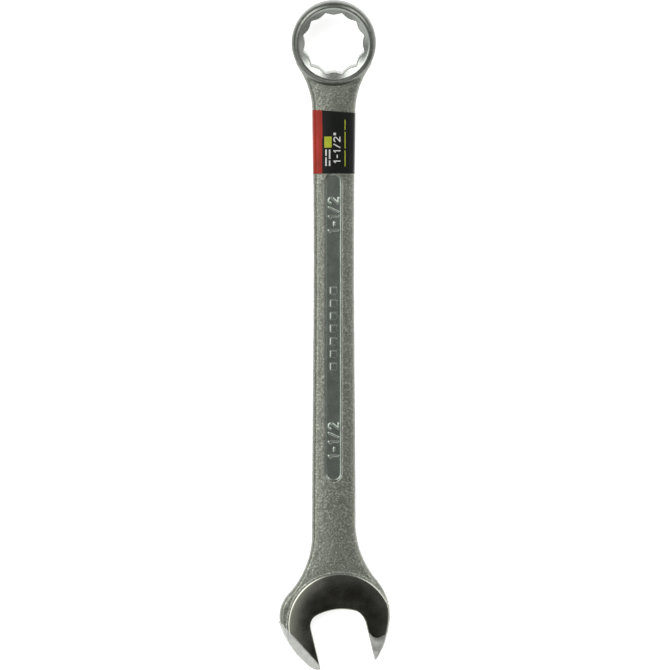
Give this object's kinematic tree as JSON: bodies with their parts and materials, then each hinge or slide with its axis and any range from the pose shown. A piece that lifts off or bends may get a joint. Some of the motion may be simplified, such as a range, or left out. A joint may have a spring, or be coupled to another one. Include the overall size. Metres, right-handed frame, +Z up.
{
  "type": "combination wrench",
  "caption": "Forged steel combination wrench with an offset bi-hexagon box end, an angled open end, a recessed panel along each face of the shank and a printed wrap label.",
  "frame": {"origin": "middle of the footprint, on the surface that the wrench rests on", "axes": "+Z up out of the broad face that the box end leans toward, +Y along the shank toward the box end, +X across the shank to the side that the open jaws point to"},
  "size_m": [0.0766, 0.4692, 0.0287],
  "materials": {
    "forged_steel": "satin chrome over a blasted forging, with bright ground and buffed faces on both ends",
    "label_film": "printed glossy film, black with a red edge band"
  },
  "bodies": {
    "root": {"wrench_forging": "forged_steel", "wrap_label": "label_film"}
  },
  "joints": []
}
